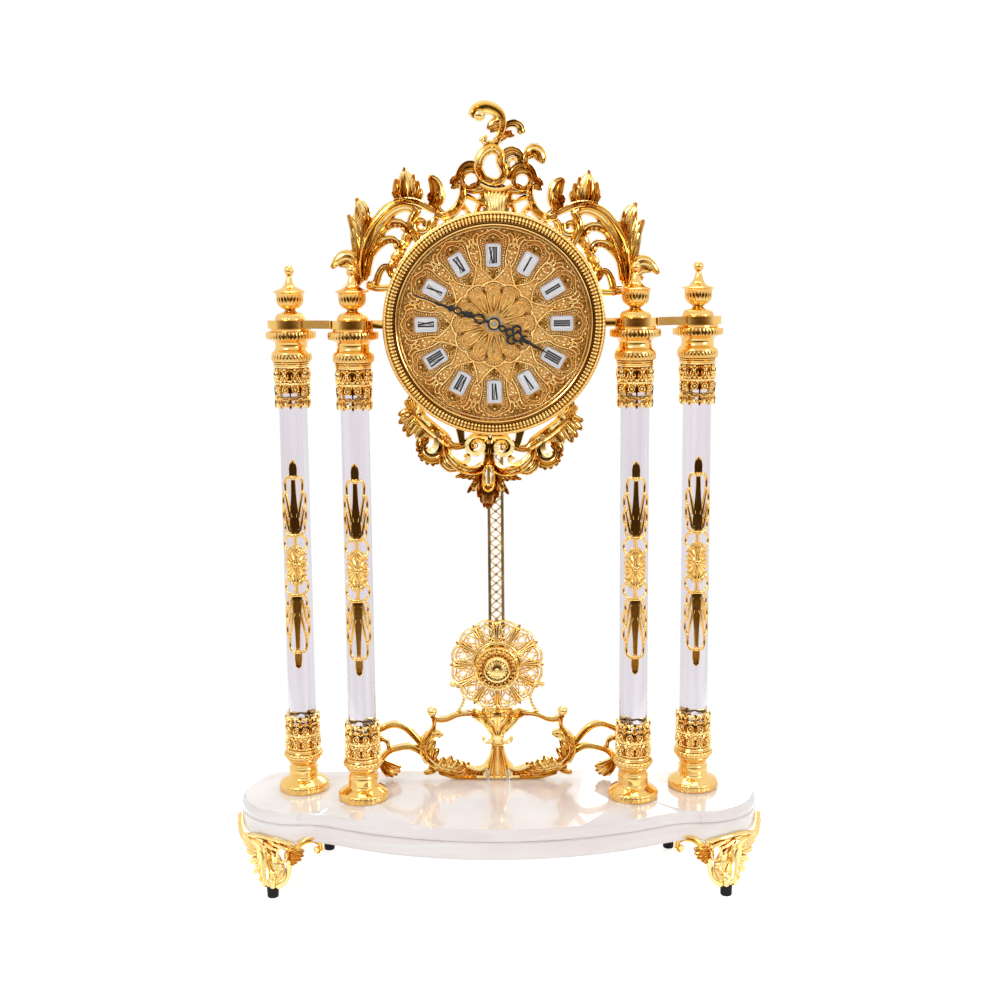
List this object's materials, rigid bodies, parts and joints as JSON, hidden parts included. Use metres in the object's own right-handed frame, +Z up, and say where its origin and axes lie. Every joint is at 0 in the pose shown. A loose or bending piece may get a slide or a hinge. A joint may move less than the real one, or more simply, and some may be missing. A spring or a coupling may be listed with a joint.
{
  "type": "clock",
  "caption": "Portico mantel clock with crystal columns on an onyx slab, gilt drum, openwork crest and feet, and a lattice pendulum",
  "frame": {"origin": "On the surface that the pads stand on, under the centre of the bounding box", "axes": "+X to the right as seen from the front, +Y from the dial to the back cover, +Z up"},
  "size_m": [0.4056, 0.1226, 0.5842],
  "materials": {
    "onyx": "polished",
    "gilt_brass": "polished",
    "gilt_dial": "satin",
    "crystal": "polished",
    "dial_glass": "polished",
    "enamel": "gloss",
    "black_steel": "satin",
    "steel": "satin",
    "black_plastic": "matte",
    "circuit_board": "matte",
    "cell_wrap": "gloss",
    "pad_rubber": "matte"
  },
  "bodies": {
    "clock": {"onyx_base": "onyx", "foot_front_left": "gilt_brass", "foot_front_right": "gilt_brass", "foot_rear_left": "gilt_brass", "foot_rear_right": "gilt_brass", "foot_pads": "pad_rubber", "foot_screws": "steel", "column_base_outer_left": "gilt_brass", "column_base_inner_left": "gilt_brass", "column_base_inner_right": "gilt_brass", "column_base_outer_right": "gilt_brass", "lower_sleeves": "gilt_brass", "rod_outer_left": "crystal", "rod_inner_left": "crystal", "rod_inner_right": "crystal", "rod_outer_right": "crystal", "applique_outer_left": "gilt_brass", "applique_inner_left": "gilt_brass", "applique_inner_right": "gilt_brass", "applique_outer_right": "gilt_brass", "upper_sleeves": "gilt_brass", "capital_outer_left": "gilt_brass", "capital_inner_left": "gilt_brass", "capital_inner_right": "gilt_brass", "capital_outer_right": "gilt_brass", "finial_outer_left": "gilt_brass", "finial_inner_left": "gilt_brass", "finial_inner_right": "gilt_brass", "finial_outer_right": "gilt_brass", "base_screws": "steel", "top_bar_left": "gilt_brass", "top_bar_right": "gilt_brass", "gallery_frame": "gilt_brass", "drum_case": "gilt_brass", "back_cover": "gilt_brass", "case_screws": "steel", "bezel": "gilt_brass", "dial_lens": "dial_glass", "dial_plate": "gilt_dial", "numeral_cartouches": "enamel", "crest": "gilt_brass", "drop_ornament": "gilt_brass", "movement_case": "black_plastic", "movement_cover": "black_plastic", "bush_nut": "steel", "drive_circuit": "circuit_board", "battery_contacts": "steel", "hanger_pin": "steel"},
    "minute_arbor": {"cannon_pinion": "steel", "minute_hand": "black_steel", "hand_nut": "gilt_brass"},
    "setting_stem": {"minute_wheel": "black_plastic", "set_knob": "black_plastic"},
    "hour_tube": {"hour_wheel": "black_plastic", "hour_hand": "black_steel"},
    "pendulum": {"pendulum_hanger": "black_plastic", "pendulum_rod": "gilt_brass", "pendulum_bob": "gilt_brass", "bob_medallion": "gilt_brass"},
    "cell": {"battery": "cell_wrap"}
  },
  "joints": [
    {"name": "minute_turn", "type": "hinge", "parent": "clock", "child": "minute_arbor", "pos_m": [0, 0, 0.424], "axis": [0, 1, 0], "continuous": true},
    {"name": "setting_turn", "type": "hinge", "parent": "clock", "child": "setting_stem", "pos_m": [0.01, 0, 0.424], "axis": [0, 1, 0], "continuous": true},
    {"name": "hour_turn", "type": "hinge", "parent": "clock", "child": "hour_tube", "pos_m": [0, 0, 0.424], "axis": [0, 1, 0], "continuous": true},
    {"name": "pendulum_swing", "type": "hinge", "parent": "clock", "child": "pendulum", "pos_m": [0, 0.0113, 0.41], "axis": [0, 1, 0], "range_deg": [-6, 6]},
    {"name": "cell_slide", "type": "slide", "parent": "clock", "child": "cell", "axis": [0, 1, 0], "range_m": [0, 0.045]}
  ],
  "couplings": [
    {"joint": "setting_turn", "follows": "minute_turn", "ratio": -0.33333},
    {"joint": "hour_turn", "follows": "minute_turn", "ratio": 0.083333}
  ]
}
